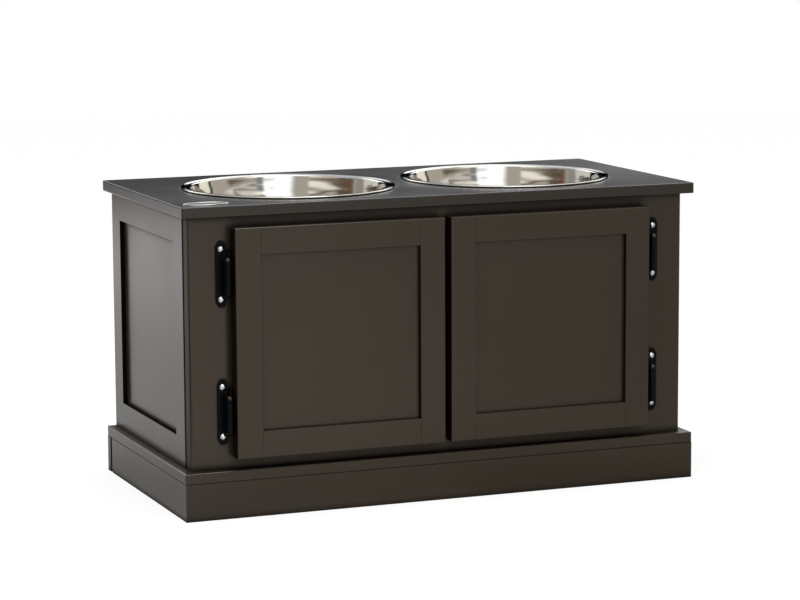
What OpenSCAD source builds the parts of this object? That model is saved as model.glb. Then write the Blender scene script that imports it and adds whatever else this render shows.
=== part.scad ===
// Raised dog feeder: a painted cabinet with two framed doors, two lift-out steel bowls and a plinth.
// The front faces -Y, the floor is z = 0 and the origin is the middle of the whole footprint.

/* [Overall] */
// Width of the top board and of the base slab
cabinet_w = 600; // [575:1:760]
// Depth of the top board and of the base slab
cabinet_d = 300; // [296:1:420]
// Height from the floor to the top board's upper face
cabinet_h = 336; // [310:1:460]
// How far the top board reaches past each side of the body
side_overhang = 10; // [4:0.5:20]
// How far the top board reaches past the face frame
front_overhang = 13; // [8:0.5:14]

/* [Boards] */
// Thickness of the top board
top_t = 12; // [10:1:19]
// Thickness of the base slab
slab_t = 12; // [10:1:19]
// Radius of the top board's and base slab's corners, seen from above
board_corner_r = 2.5; // [2:0.5:12]
// Radius of the arrises that show
arris_r = 1.5; // [0.6:0.1:2.2]
// Radius of the body's upright arrises, which meet in a V where the face frame joins a side
body_arris_r = 3; // [1:0.1:3.5]

/* [Plinth] */
// Height of the plinth boards
plinth_h = 40; // [30:1:70]
// Thickness of the plinth boards
plinth_t = 12; // [9:1:18]
// Open joint between a side plinth board and the rear one
plinth_gap = 6; // [2:0.5:10]
// Width of the corner blocks inside the plinth
plinth_block_w = 20; // [18:1:30]
// Space from the floor up to the corner blocks
plinth_block_lift = 4; // [1:1:8]
// How far the blocks' screws bite into the boards and the slab
plinth_bite = 8; // [5:0.5:10]

/* [Face frame] */
// Thickness of the face frame
frame_t = 18; // [16:1:22]
// Width of the face frame's stiles
frame_stile_w = 57; // [48:1:70]
// Width of the face frame's rails
frame_rail_w = 22; // [18:1:30]
// Length of the rails' tenons
frame_tenon_l = 10; // [6:1:16]
// Thickness of the rails' tenons
frame_tenon_t = 6; // [5:1:8]

/* [Sides] */
// Thickness of the side frames
side_t = 15; // [14:1:18]
// Width of the side frames' front stiles
side_front_stile_w = 33; // [28:1:45]
// Width of the side frames' rear stiles
side_rear_stile_w = 33; // [24:1:45]
// Width of the side frames' rails
side_rail_w = 31; // [26:1:45]
// Depth of the sunk face of the side panels
side_recess = 5; // [3:0.5:6]
// Thickness of the side panels
side_panel_t = 5; // [3:0.5:6]
// Depth of the grooves that hold the panels, and length of the rails' tongues
groove_depth = 8; // [5:0.5:10]
// Gap left between a panel's edge and the groove's floor
panel_play = 0.5; // [0.2:0.1:1]

/* [Back] */
// Thickness of the back panel
back_t = 5; // [3:0.5:8]
// Width of the rebates that take the back panel
back_rebate_w = 8; // [6:0.5:9]

/* [Doors] */
// Thickness of the doors
door_t = 15; // [14:1:18]
// Overlap of a door over the face frame
door_overlay = 10; // [6:1:12]
// Gap between the two doors
door_gap = 7; // [5:0.5:10]
// Width of the doors' stiles
door_stile_w = 29; // [26:1:50]
// Width of the doors' rails
door_rail_w = 29; // [26:1:50]
// Depth of the sunk face of the door panels
door_recess = 5.5; // [3:0.5:6]
// Thickness of the door panels
door_panel_t = 5; // [3:0.5:6]
// Radius of the fine arrises at the doors' joints
joint_arris_r = 0.3; // [0.2:0.05:0.6]

/* [Hinges] */
// Distance from a hinge's middle to the nearer end of its door
hinge_inset = 50; // [40:1:70]
// Height of the frame leaf
leaf_h = 71; // [68:1:80]
// Height of the frame leaf's wide middle
leaf_middle_h = 60; // [46:1:64]
// Width of the frame leaf's tabs
leaf_tab_w = 9.6; // [9:0.1:10.4]
// Length of the frame leaf's tabs
leaf_tab_l = 13; // [10:0.5:14]
// How far the frame leaf reaches past the barrel, away from the door
leaf_reach = 6.5; // [5:0.5:9]
// Thickness of both leaves
leaf_t = 1.5; // [1.2:0.1:2]
// Distance from a door's edge to its hinge pins' axis
pin_side = 6.8; // [6:0.1:8]
// Distance from a door's front face back to the pins' axis
pin_back = 5; // [4.5:0.1:6]
// Outer radius of the barrel
barrel_r = 3.5; // [3.2:0.1:3.8]
// Length of the barrel
barrel_l = 37; // [30:1:40]
// How far the barrel's middle lies below the hinge's middle
barrel_drop = 3.5; // [0:0.5:4]
// Radius of the hinge pin
pin_r = 1.75; // [1.4:0.05:2]
// Running clearance round the hinge pin
pin_play = 0.05; // [0.02:0.01:0.1]
// Gap between two knuckles
knuckle_gap = 0.3; // [0.2:0.05:0.6]
// Clearance between the door leaf and the face frame
leaf_play = 0.3; // [0.2:0.05:0.8]
// Height of the door leaf
door_leaf_h = 50; // [40:1:60]
// Width of the door leaf's plate behind the door
door_leaf_w = 24; // [22:1:26]
// Distance from the plate's free edge to its screws
door_screw_inset = 5; // [4:0.5:7]
// Distance between the screws of a frame leaf
leaf_screw_pitch = 54; // [52:1:58]
// Distance between the screws of a door leaf
door_screw_pitch = 30; // [20:1:36]

/* [Catches] */
// Distance from the middle of the front to a catch's middle
catch_x = 55; // [52:1:90]
// Width of a catch's housing
catch_w = 40; // [34:1:44]
// Height of a catch's housing
catch_h = 12; // [10:1:14]
// Depth of a catch's housing
catch_d = 16; // [14:1:17]
// Thickness of the strike plates
strike_t = 1.2; // [0.8:0.1:1.4]
// Gap between a strike plate and the catch's face
strike_gap = 0.3; // [0.2:0.05:0.4]

/* [Bowls] */
// Outer radius of the bowls' rims
bowl_rim_r = 119; // [116:1:122]
// Radius of the bowls' walls where they pass through the board
bowl_wall_r = 109.5; // [104:0.5:110]
// Depth of the bowls below the board's upper face
bowl_depth = 62; // [40:1:70]
// Thickness of the bowls' sheet steel
bowl_t = 1; // [0.8:0.1:1.5]
// Radius of the rims' rolled beads
bead_r = 1; // [0.8:0.1:2]
// Distance between the bowls' middles
bowl_spacing = 262; // [250:1:264]
// How far the bowls' middles lie in front of the board's middle
bowl_forward = 6; // [0:0.5:7]
// Gap between the board and the rims that rest on it
rim_gap = 0.3; // [0.1:0.1:0.5]
// Clearance of the cut-outs round the bowls' walls
cutout_play = 2.5; // [1.5:0.5:4]
// Lean of the bowls' walls from upright, in degrees
bowl_lean = 14; // [6:1:20]

/* [Badge] */
// Length of the blank oval badge
badge_l = 50; // [40:1:60]
// Width of the badge
badge_w = 25; // [18:1:28]
// Thickness of the badge
badge_t = 1; // [0.8:0.1:1.5]
// Distance from the board's left edge to the badge
badge_left = 9; // [8:1:20]
// Distance from the board's front edge to the badge
badge_front = 11; // [8:1:20]

/* [Fasteners] */
// Radius of the dowels
dowel_r = 3; // [2.5:0.5:3.5]
// Length of the dowels
dowel_l = 24; // [18:1:26]
// Radius of the screws' shanks
screw_r = 1.9; // [1.5:0.1:2]
// Radius of the countersunk heads
screw_head_r = 3.8; // [3:0.1:4]
// Length of the screws through the base slab
base_screw_l = 30; // [24:1:32]
// Distance from each end of a side to the nearest screw through the base slab
base_screw_margin = 12.5; // [12:0.5:14]
// Distance from the middle of the front to the screws through the base slab into the face frame
frame_screw_x = 120; // [60:5:200]
// Length of the screws in the cleats and the corner blocks
cleat_screw_l = 22; // [18:1:22]
// Width of the cleats under the top board
cleat_w = 15; // [14:1:18]
// Distance from the face frame and from the back panel to the cleats' ends
cleat_end_gap = 10; // [4:1:20]
// Radius of the small screws' shanks
small_screw_r = 1.5; // [1.2:0.1:1.7]
// Length of the pan-head screws
pan_screw_l = 13; // [10:1:14]
// Radius of the pan heads
pan_head_r = 3.5; // [2.8:0.1:3.6]
// Height of the pan heads
pan_head_h = 2; // [1.6:0.1:2.2]
// Clearance of each bore round its screw or dowel
screw_play = 0.05; // [0.02:0.01:0.1]

/* [Hidden] */

left = 0;
right = 1;
front = 0;
rear = 1;

paint_colour = [0.24, 0.21, 0.19];
inner_wood_colour = [0.55, 0.43, 0.30];
black_metal_colour = [0.08, 0.08, 0.08];
bright_metal_colour = [0.80, 0.80, 0.80];
catch_colour = [0.30, 0.24, 0.20];

// Plan and levels, measured from the middle of the top board and from the floor.
half_w = cabinet_w / 2;
half_d = cabinet_d / 2;
slab_top = plinth_h + slab_t;
top_bottom = cabinet_h - top_t;
body_half_w = half_w - side_overhang;
frame_front = -half_d + front_overhang;
frame_back = frame_front + frame_t;
back_front = half_d - back_t;

// The opening in the face frame, and the doors that overlap it.
opening_half_w = body_half_w - frame_stile_w;
tenon_shoulder = 4;
opening_bottom = slab_top + frame_rail_w;
opening_top = top_bottom - frame_rail_w;
door_half_w = opening_half_w + door_overlay;
door_bottom = opening_bottom - door_overlay;
door_top = opening_top + door_overlay;
door_back = frame_front - leaf_t - leaf_play;
door_front = door_back - door_t;

// The whole model moves back so that the footprint's middle, doors included, is the origin.
plan_shift = (max(half_d, -door_front) - half_d) / 2;

// The side frames.
side_inner = body_half_w - side_t;
side_front_inner = frame_back + side_front_stile_w;
side_rear_inner = half_d - side_rear_stile_w;
side_rail_top = slab_top + side_rail_w;
side_rail_bottom = top_bottom - side_rail_w;
tongue_l = groove_depth - panel_play;

// The hinge axis in the front view of the left door, and the hinge's middles.
pin_x = -door_half_w - pin_side;
pin_y = door_front + pin_back;
hinge_levels = [door_bottom + hinge_inset, door_top - hinge_inset];
frame_face = frame_front - pin_y;
door_back_face = door_back - pin_y;
web_back = barrel_r + 0.5;
leaf_edge = -barrel_r - leaf_reach;
tab_middle = -4;
barrel_low = -barrel_l / 2 - barrel_drop;
barrel_high = barrel_l / 2 - barrel_drop;
knuckle_l = (barrel_l - 2 * knuckle_gap) / 3;
middle_low = barrel_low + knuckle_l + knuckle_gap;
middle_high = barrel_high - knuckle_l - knuckle_gap;
door_web = barrel_r - leaf_t;
door_screw_x = door_web + door_leaf_w - door_screw_inset;

// The catches hang under the face frame's top rail.
catch_front = door_back + strike_t + strike_gap;
catch_bottom = opening_top - catch_h;
catch_corner_r = 2;
magnet_w = 24;
magnet_h = 6;
magnet_d = 9;
catch_screw_x = 15.5;
catch_screw_l = 20;
strike_w = 36;
strike_h = 11;

// The bowls.
bowl_y = -bowl_forward;
bowl_x = bowl_spacing / 2;
bead_level = rim_gap + bead_r;
fillet_r = 0.8;
bowl_corner_r = 18;
flange_level = bead_level - bowl_t / 2;

// Fastener places.
dowel_margin = 30;
cleat_front = frame_back + cleat_end_gap;
cleat_back = back_front - cleat_end_gap;
cleat_screw_margin = 20;
cleat_side_screw_margin = 50;
small_head_r = 2.8;
back_screw_l = 12;
back_screw_margin = 24;
plinth_block_h = plinth_h - plinth_block_lift;
plinth_screw_inset = 6;
plinth_screw_level = 12;
strike_screw_l = 10;
hole_end = 0.3;
past = 1;
smooth = 64;
round = 128;

// Arc of points round a centre, from one angle to another.
function arc(x, y, r, start, end, steps) =
    [for (i = [0:steps]) let (a = start + (end - start) * i / steps) [x + r * cos(a), y + r * sin(a)]];

// Outline of a rectangle with rounded corners, its lower left corner at the origin.
module rounded_outline(w, h, r) {
    polygon(concat(
        arc(w - r, h - r, r, 0, 90, 3),
        arc(r, h - r, r, 90, 180, 3),
        arc(r, r, r, 180, 270, 3),
        arc(w - r, r, r, 270, 360, 3)
    ));
}

// A plain block between two opposite corners.
module block(low, high) {
    translate(low) cube(high - low);
}

// A block with rounded arrises and its own corner radius seen from above.
module soft_block(low, high, plan_r, edge_r) {
    size = high - low;
    translate(low) intersection() {
        linear_extrude(height = size.z) rounded_outline(size.x, size.y, plan_r);
        translate([0, size.y, 0]) rotate([90, 0, 0])
            linear_extrude(height = size.y) rounded_outline(size.x, size.z, edge_r);
        rotate([90, 0, 90])
            linear_extrude(height = size.x) rounded_outline(size.y, size.z, edge_r);
    }
}

// Puts a piece in the footprint's own frame, and mirrors the left side's piece for the right side.
module placed(side = left) {
    translate([0, plan_shift, 0]) mirror([side, 0, 0]) children();
}

// Places one copy at each side, and mirrors the one on the right.
module both_sides() {
    for (side = [left, right])
        mirror([side, 0, 0]) children();
}

// A cross-shaped driver recess in a head whose top is at the given level.
module cross_recess(level, size) {
    for (turn = [0, 90])
        rotate([0, 0, turn]) translate([-size / 2, -size / 8, level - size / 4])
            cube([size, size / 4, size]);
}

// A countersunk screw that points down, its head flush with z = 0.
module flat_screw(shank_r, head_r, l) {
    head_h = head_r - shank_r;
    difference() {
        union() {
            translate([0, 0, -head_h]) cylinder(r1 = shank_r, r2 = head_r, h = head_h, $fn = smooth);
            translate([0, 0, -l]) cylinder(r = shank_r, h = l - head_h / 2, $fn = smooth);
        }
        cross_recess(0, head_r);
    }
}

// The hole that takes a countersunk screw, a little deeper than the screw is long.
module flat_screw_hole(shank_r, head_r, l) {
    head_h = head_r - shank_r;
    play = screw_play;
    translate([0, 0, -head_h])
        cylinder(r1 = shank_r + play, r2 = head_r + play, h = head_h, $fn = smooth);
    translate([0, 0, -l - hole_end]) cylinder(r = shank_r + play, h = l + hole_end, $fn = smooth);
    cylinder(r = head_r + play, h = past, $fn = smooth);
}

// A large or a small countersunk screw of the given length, or the hole that takes it.
module large_screw(l, hole = false) {
    if (hole)
        flat_screw_hole(screw_r, screw_head_r, l);
    else
        flat_screw(screw_r, screw_head_r, l);
}

module small_screw(l, hole = false) {
    if (hole)
        flat_screw_hole(small_screw_r, small_head_r, l);
    else
        flat_screw(small_screw_r, small_head_r, l);
}

// A pan-head screw that points down, the underside of its head at z = 0.
module pan_screw() {
    dome_r = (pan_head_r * pan_head_r + pan_head_h * pan_head_h) / (2 * pan_head_h);
    difference() {
        union() {
            translate([0, 0, -pan_screw_l])
                cylinder(r = small_screw_r, h = pan_screw_l + pan_head_h / 2, $fn = smooth);
            intersection() {
                cylinder(r = pan_head_r, h = pan_head_h, $fn = smooth);
                translate([0, 0, pan_head_h - dome_r]) sphere(r = dome_r, $fn = smooth);
            }
        }
        cross_recess(pan_head_h, pan_head_r);
    }
}

// The hole that takes a pan-head screw's shank.
module pan_screw_hole() {
    translate([0, 0, -pan_screw_l - hole_end])
        cylinder(r = small_screw_r + screw_play, h = pan_screw_l + hole_end + past, $fn = smooth);
}

// Places of the screws that come up through the base slab, pointing up.
module at_base_screws() {
    ys = [frame_back + base_screw_margin, (frame_back + half_d) / 2, half_d - base_screw_margin];
    both_sides() {
        for (y = ys)
            translate([-body_half_w + side_t / 2, y, plinth_h]) rotate([180, 0, 0]) children();
        translate([-frame_screw_x, frame_front + frame_t / 2, plinth_h]) rotate([180, 0, 0]) children();
    }
}

// Places of the screws that go up through the cleats into the top board.
module at_cleat_top_screws() {
    middle = (cleat_front + cleat_back) / 2;
    both_sides()
        for (y = [cleat_front + cleat_screw_margin, middle, cleat_back - cleat_screw_margin])
            translate([-side_inner + cleat_w / 2, y, top_bottom - cleat_w]) rotate([180, 0, 0]) children();
}

// Places of the screws that go through the cleats into the sides.
module at_cleat_side_screws() {
    both_sides()
        for (y = [cleat_front + cleat_side_screw_margin, cleat_back - cleat_side_screw_margin])
            translate([-side_inner + cleat_w, y, top_bottom - cleat_w / 2]) rotate([0, 90, 0]) children();
}

// Places of the dowels between the face frame and the sides, lying along Y.
module at_dowels() {
    zs = [slab_top + dowel_margin, (slab_top + top_bottom) / 2, top_bottom - dowel_margin];
    both_sides()
        for (z = zs)
            translate([-body_half_w + side_t / 2, frame_back, z]) rotate([90, 0, 0]) children();
}

// Places of the screws that hold the back panel, seen from behind.
module at_back_screws() {
    zs = [slab_top + back_screw_margin, (slab_top + top_bottom) / 2, top_bottom - back_screw_margin];
    both_sides()
        for (z = zs)
            translate([-side_inner - back_rebate_w / 2, half_d, z]) rotate([-90, 0, 0]) children();
}

// Screws of one plinth block, or their holes: up into the slab, out into the side board and out
// into the end board. The block's corner between those two boards is at the origin.
module block_screws(block_d, hole) {
    far = plinth_block_w - plinth_screw_inset;
    translate([plinth_screw_inset, block_d - far, 0]) rotate([180, 0, 0])
        large_screw(plinth_block_h + plinth_bite, hole);
    translate([plinth_block_w, block_d - plinth_screw_inset, plinth_block_h - plinth_screw_level])
        rotate([0, 90, 0]) large_screw(plinth_block_w + plinth_bite, hole);
    translate([far, block_d, plinth_screw_level])
        rotate([-90, 0, 0]) large_screw(block_d + plinth_bite, hole);
}

// Places one block's parts at each corner of the plinth; the rear blocks are deeper.
module at_plinth_corners(end) {
    mirror([0, end, 0]) both_sides()
        translate([-half_w + plinth_t, -half_d + plinth_t, plinth_block_lift]) children();
}

module plinth_fasteners(hole = false) {
    for (end = [front, rear])
        at_plinth_corners(end) block_screws(plinth_block_w + end * plinth_gap, hole);
}

// Places a hinge at each of its two levels, its pin's axis at the origin.
module at_left_hinges() {
    for (z = hinge_levels)
        translate([pin_x, pin_y, z]) children();
}

// Places of one hinge's frame screws, pointing back into the face frame.
module at_leaf_screws() {
    for (z = [-leaf_screw_pitch / 2, leaf_screw_pitch / 2])
        translate([tab_middle, frame_face - leaf_t, z]) rotate([90, 0, 0]) children();
}

// Places of one hinge's door screws, pointing forward into the door.
module at_door_leaf_screws() {
    for (z = [-door_screw_pitch / 2, door_screw_pitch / 2])
        translate([door_screw_x, door_back_face + leaf_t, z]) rotate([-90, 0, 0]) children();
}

// Places of the screws that hold the catches, pointing up into the top rail.
module at_catch_screws() {
    both_sides()
        for (x = [-catch_screw_x, catch_screw_x])
            translate([-catch_x + x, catch_front + catch_d / 2, catch_bottom])
                rotate([180, 0, 0]) children();
}

// Place of the screw through the left door's strike plate, pointing forward into the door.
module at_strike_screw() {
    translate([-catch_x, door_back + strike_t, catch_bottom + catch_h / 2]) rotate([-90, 0, 0]) children();
}

module dowel_hole() {
    cylinder(r = dowel_r + screw_play, h = dowel_l + 0.6, center = true, $fn = smooth);
}

// Board with the cut-outs that the bowls hang in.
module top_board() {
    color(paint_colour) placed() difference() {
        soft_block([-half_w, -half_d, top_bottom], [half_w, half_d, cabinet_h], board_corner_r, arris_r);
        for (x = [-bowl_x, bowl_x])
            translate([x, bowl_y, top_bottom - past])
                cylinder(r = bowl_wall_r + cutout_play, h = top_t + 2 * past, $fn = round);
        at_cleat_top_screws() large_screw(cleat_screw_l, hole = true);
    }
}

module base_slab() {
    color(paint_colour) placed() difference() {
        soft_block([-half_w, -half_d, plinth_h], [half_w, half_d, slab_top], board_corner_r, arris_r);
        at_base_screws() large_screw(base_screw_l, hole = true);
        plinth_fasteners(hole = true);
    }
}

// The four plinth boards are cut from this block, so their arrises run round as one.
module plinth_outside() {
    soft_block([-half_w, -half_d, 0], [half_w, half_d, plinth_h], arris_r, joint_arris_r);
}

// The front board is mitred to the side boards.
module plinth_front() {
    color(paint_colour) placed() difference() {
        intersection() {
            plinth_outside();
            linear_extrude(height = plinth_h) polygon([
                [-half_w, -half_d], [half_w, -half_d],
                [half_w - plinth_t, -half_d + plinth_t], [-half_w + plinth_t, -half_d + plinth_t]
            ]);
        }
        plinth_fasteners(hole = true);
    }
}

module plinth_side(side) {
    side_end = half_d - plinth_t - plinth_gap;
    color(paint_colour) placed(side) difference() {
        intersection() {
            plinth_outside();
            linear_extrude(height = plinth_h) polygon([
                [-half_w, -half_d], [-half_w + plinth_t, -half_d + plinth_t],
                [-half_w + plinth_t, side_end], [-half_w, side_end]
            ]);
        }
        plinth_fasteners(hole = true);
    }
}

module plinth_rear() {
    color(paint_colour) placed() difference() {
        intersection() {
            plinth_outside();
            block([-half_w, half_d - plinth_t, 0], [half_w, half_d, plinth_h]);
        }
        plinth_fasteners(hole = true);
    }
}

// Blocks that join the plinth's corners and carry the slab; the rear ones bridge the open joints.
module plinth_corner_blocks() {
    color(inner_wood_colour) placed() difference() {
        for (end = [front, rear])
            at_plinth_corners(end)
                cube([plinth_block_w, plinth_block_w + end * plinth_gap, plinth_block_h]);
        plinth_fasteners(hole = true);
    }
}

module plinth_screws() {
    color(bright_metal_colour) placed() plinth_fasteners();
}

// The face frame is cut from this block, so its outer arrises run round as one.
module frame_outside() {
    soft_block([-body_half_w, frame_front, slab_top], [body_half_w, frame_back, top_bottom],
        body_arris_r, joint_arris_r);
}

// Tenon boxes of a rail, or the mortises that take them when made longer.
module frame_tenons(rail_low, rail_high, extra) {
    y = frame_front + (frame_t - frame_tenon_t) / 2;
    block([-opening_half_w - frame_tenon_l - extra, y, rail_low + tenon_shoulder],
        [opening_half_w + frame_tenon_l + extra, y + frame_tenon_t, rail_high - tenon_shoulder]);
}

module frame_stile(side) {
    color(paint_colour) placed(side) difference() {
        intersection() {
            frame_outside();
            block([-body_half_w, frame_front, slab_top], [-opening_half_w, frame_back, top_bottom]);
        }
        frame_tenons(slab_top, opening_bottom, panel_play);
        frame_tenons(opening_top, top_bottom, panel_play);
        at_dowels() dowel_hole();
        at_left_hinges() at_leaf_screws() pan_screw_hole();
    }
}

module frame_rail(low, high) {
    difference() {
        union() {
            intersection() {
                frame_outside();
                block([-opening_half_w, frame_front, low], [opening_half_w, frame_back, high]);
            }
            frame_tenons(low, high, 0);
        }
        at_base_screws() large_screw(base_screw_l, hole = true);
        at_catch_screws() small_screw(catch_screw_l, hole = true);
    }
}

module frame_top_rail() {
    color(paint_colour) placed() frame_rail(opening_top, top_bottom);
}

module frame_bottom_rail() {
    color(paint_colour) placed() frame_rail(slab_top, opening_bottom);
}

module frame_dowels() {
    color(inner_wood_colour) placed()
        at_dowels() cylinder(r = dowel_r, h = dowel_l, center = true, $fn = smooth);
}

// The left side frame is cut from this block.
module side_outside() {
    soft_block([-body_half_w, frame_back, slab_top], [-side_inner, half_d, top_bottom],
        body_arris_r, joint_arris_r);
}

// Groove or tongue between two levels and two depths, in the plane of the side panel.
module side_tongue(y_low, y_high, z_low, z_high) {
    x = -body_half_w + side_recess;
    block([x, y_low, z_low], [x + side_panel_t, y_high, z_high]);
}

module side_front_stile(side) {
    color(paint_colour) placed(side) difference() {
        intersection() {
            side_outside();
            block([-body_half_w, frame_back, slab_top], [-side_inner, side_front_inner, top_bottom]);
        }
        side_tongue(side_front_inner - groove_depth, side_front_inner, slab_top, top_bottom);
        at_dowels() dowel_hole();
        at_base_screws() large_screw(base_screw_l, hole = true);
    }
}

module side_rear_stile(side) {
    color(paint_colour) placed(side) difference() {
        intersection() {
            side_outside();
            block([-body_half_w, side_rear_inner, slab_top], [-side_inner, half_d, top_bottom]);
        }
        side_tongue(side_rear_inner, side_rear_inner + groove_depth, slab_top, top_bottom);
        block([-side_inner - back_rebate_w, back_front, slab_top], [-side_inner, half_d, top_bottom]);
        at_base_screws() large_screw(base_screw_l, hole = true);
        at_back_screws() small_screw(back_screw_l, hole = true);
    }
}

// Rail of a side frame: a bar with a tongue at each end and a groove for the panel.
module side_rail(low, high, groove_low) {
    difference() {
        union() {
            block([-body_half_w, side_front_inner, low], [-side_inner, side_rear_inner, high]);
            side_tongue(side_front_inner - tongue_l, side_rear_inner + tongue_l, low, high);
        }
        side_tongue(side_front_inner - groove_depth, side_rear_inner + groove_depth,
            groove_low, groove_low + groove_depth);
        at_base_screws() large_screw(base_screw_l, hole = true);
        at_cleat_side_screws() large_screw(cleat_screw_l, hole = true);
    }
}

module side_top_rail(side) {
    color(paint_colour) placed(side) side_rail(side_rail_bottom, top_bottom, side_rail_bottom);
}

module side_bottom_rail(side) {
    color(paint_colour) placed(side) side_rail(slab_top, side_rail_top, side_rail_top - groove_depth);
}

module side_panel(side) {
    color(paint_colour) placed(side)
        side_tongue(side_front_inner - tongue_l, side_rear_inner + tongue_l,
            side_rail_top - tongue_l, side_rail_bottom + tongue_l);
}

module back_panel() {
    color(paint_colour) placed() difference() {
        block([-side_inner - back_rebate_w, back_front, slab_top],
            [side_inner + back_rebate_w, half_d, top_bottom]);
        at_back_screws() small_screw(back_screw_l, hole = true);
    }
}

module back_panel_screws() {
    color(bright_metal_colour) placed()
        at_back_screws() small_screw(back_screw_l);
}

module cleat(side) {
    color(inner_wood_colour) placed(side) difference() {
        block([-side_inner, cleat_front, top_bottom - cleat_w],
            [-side_inner + cleat_w, cleat_back, top_bottom]);
        at_cleat_top_screws() large_screw(cleat_screw_l, hole = true);
        at_cleat_side_screws() large_screw(cleat_screw_l, hole = true);
    }
}

module cleat_screws() {
    color(bright_metal_colour) placed() {
        at_cleat_top_screws() large_screw(cleat_screw_l);
        at_cleat_side_screws() large_screw(cleat_screw_l);
    }
}

module base_screws() {
    color(bright_metal_colour) placed()
        at_base_screws() large_screw(base_screw_l);
}

// The left door is cut from this block, so its outer arrises run round as one.
module door_outside() {
    soft_block([-door_half_w, door_front, door_bottom], [-door_gap / 2, door_back, door_top],
        arris_r, arris_r);
}

// Groove or tongue in the plane of the door panel.
module door_tongue(x_low, x_high, z_low, z_high) {
    y = door_front + door_recess;
    block([x_low, y, z_low], [x_high, y + door_panel_t, z_high]);
}

module door_piece(x_low, x_high, z_low, z_high) {
    intersection() {
        door_outside();
        soft_block([x_low, door_front, z_low], [x_high, door_back, z_high], joint_arris_r, joint_arris_r);
    }
}

module door_hinge_stile(side) {
    inner = -door_half_w + door_stile_w;
    color(paint_colour) placed(side) difference() {
        door_piece(-door_half_w, inner, door_bottom, door_top);
        door_tongue(inner - groove_depth, inner, door_bottom, door_top);
        at_left_hinges() at_door_leaf_screws() pan_screw_hole();
    }
}

module door_meeting_stile(side) {
    inner = -door_gap / 2 - door_stile_w;
    color(paint_colour) placed(side) difference() {
        door_piece(inner, -door_gap / 2, door_bottom, door_top);
        door_tongue(inner, inner + groove_depth, door_bottom, door_top);
    }
}

// Rail of a door: a bar with a tongue at each end and a groove for the panel.
module door_rail(low, high, groove_low) {
    x_low = -door_half_w + door_stile_w;
    x_high = -door_gap / 2 - door_stile_w;
    difference() {
        union() {
            door_piece(x_low, x_high, low, high);
            door_tongue(x_low - tongue_l, x_high + tongue_l, low, high);
        }
        door_tongue(x_low - groove_depth, x_high + groove_depth, groove_low, groove_low + groove_depth);
        at_strike_screw() small_screw(strike_screw_l, hole = true);
    }
}

module door_top_rail(side) {
    color(paint_colour) placed(side) door_rail(door_top - door_rail_w, door_top, door_top - door_rail_w);
}

module door_bottom_rail(side) {
    high = door_bottom + door_rail_w;
    color(paint_colour) placed(side) door_rail(door_bottom, high, high - groove_depth);
}

module door_panel(side) {
    color(paint_colour) placed(side) door_tongue(
        -door_half_w + door_stile_w - tongue_l, -door_gap / 2 - door_stile_w + tongue_l,
        door_bottom + door_rail_w - tongue_l, door_top - door_rail_w + tongue_l);
}

// Outline of the frame leaf's plate: a wide middle and a round-ended tab at each end.
module frame_leaf_outline() {
    tab_r = leaf_tab_w / 2;
    translate([leaf_edge, -leaf_middle_h / 2]) square([-barrel_r + leaf_t - leaf_edge, leaf_middle_h]);
    for (end = [0, 1])
        mirror([0, end]) {
            translate([tab_middle, leaf_h / 2 - tab_r]) circle(r = tab_r, $fn = smooth);
            translate([tab_middle - tab_r, leaf_h / 2 - leaf_tab_l])
                square([leaf_tab_w, leaf_tab_l - tab_r]);
        }
}

// A fine turned line round the barrel's front.
module barrel_line() {
    line_h = 0.5;
    line_depth = 0.35;
    difference() {
        translate([-barrel_r - past, -barrel_r - past, 0])
            cube([2 * (barrel_r + past), barrel_r + past, line_h]);
        translate([0, 0, -past]) cylinder(r = barrel_r - line_depth, h = line_h + 2 * past, $fn = smooth);
    }
}

// One frame leaf: a flat plate, and a web that rises from it to the barrel's two outer knuckles.
module frame_leaf() {
    difference() {
        union() {
            translate([0, frame_face, 0]) rotate([90, 0, 0])
                linear_extrude(height = leaf_t) frame_leaf_outline();
            block([-barrel_r, web_back, barrel_low], [-barrel_r + leaf_t, frame_face, barrel_high]);
            for (low = [barrel_low, middle_high + knuckle_gap]) {
                translate([0, 0, low]) cylinder(r = barrel_r, h = knuckle_l, $fn = smooth);
                block([-barrel_r, 0, low], [-barrel_r + leaf_t, web_back, low + knuckle_l]);
            }
        }
        translate([0, 0, barrel_low - past])
            cylinder(r = pin_r + pin_play, h = barrel_l + 2 * past, $fn = smooth);
        at_leaf_screws() pan_screw_hole();
        for (drop = [2, 3.5])
            translate([0, 0, barrel_high - drop]) barrel_line();
    }
}

module hinge_frame_leaves(side) {
    color(black_metal_colour) placed(side) at_left_hinges() frame_leaf();
}

// One door leaf: the middle knuckle, a web past the door's edge and a plate behind the door.
module door_leaf() {
    back = door_back_face + leaf_t;
    difference() {
        union() {
            translate([0, 0, middle_low]) cylinder(r = barrel_r, h = middle_high - middle_low, $fn = smooth);
            block([door_web, 0, middle_low], [barrel_r, web_back, middle_high]);
            block([door_web, web_back, -door_leaf_h / 2], [barrel_r, back, door_leaf_h / 2]);
            block([door_web, door_back_face, -door_leaf_h / 2],
                [door_web + door_leaf_w, back, door_leaf_h / 2]);
        }
        translate([0, 0, middle_low - past])
            cylinder(r = pin_r + pin_play, h = middle_high - middle_low + 2 * past, $fn = smooth);
        at_door_leaf_screws() pan_screw_hole();
    }
}

module hinge_door_leaves(side) {
    color(black_metal_colour) placed(side) at_left_hinges() door_leaf();
}

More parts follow.
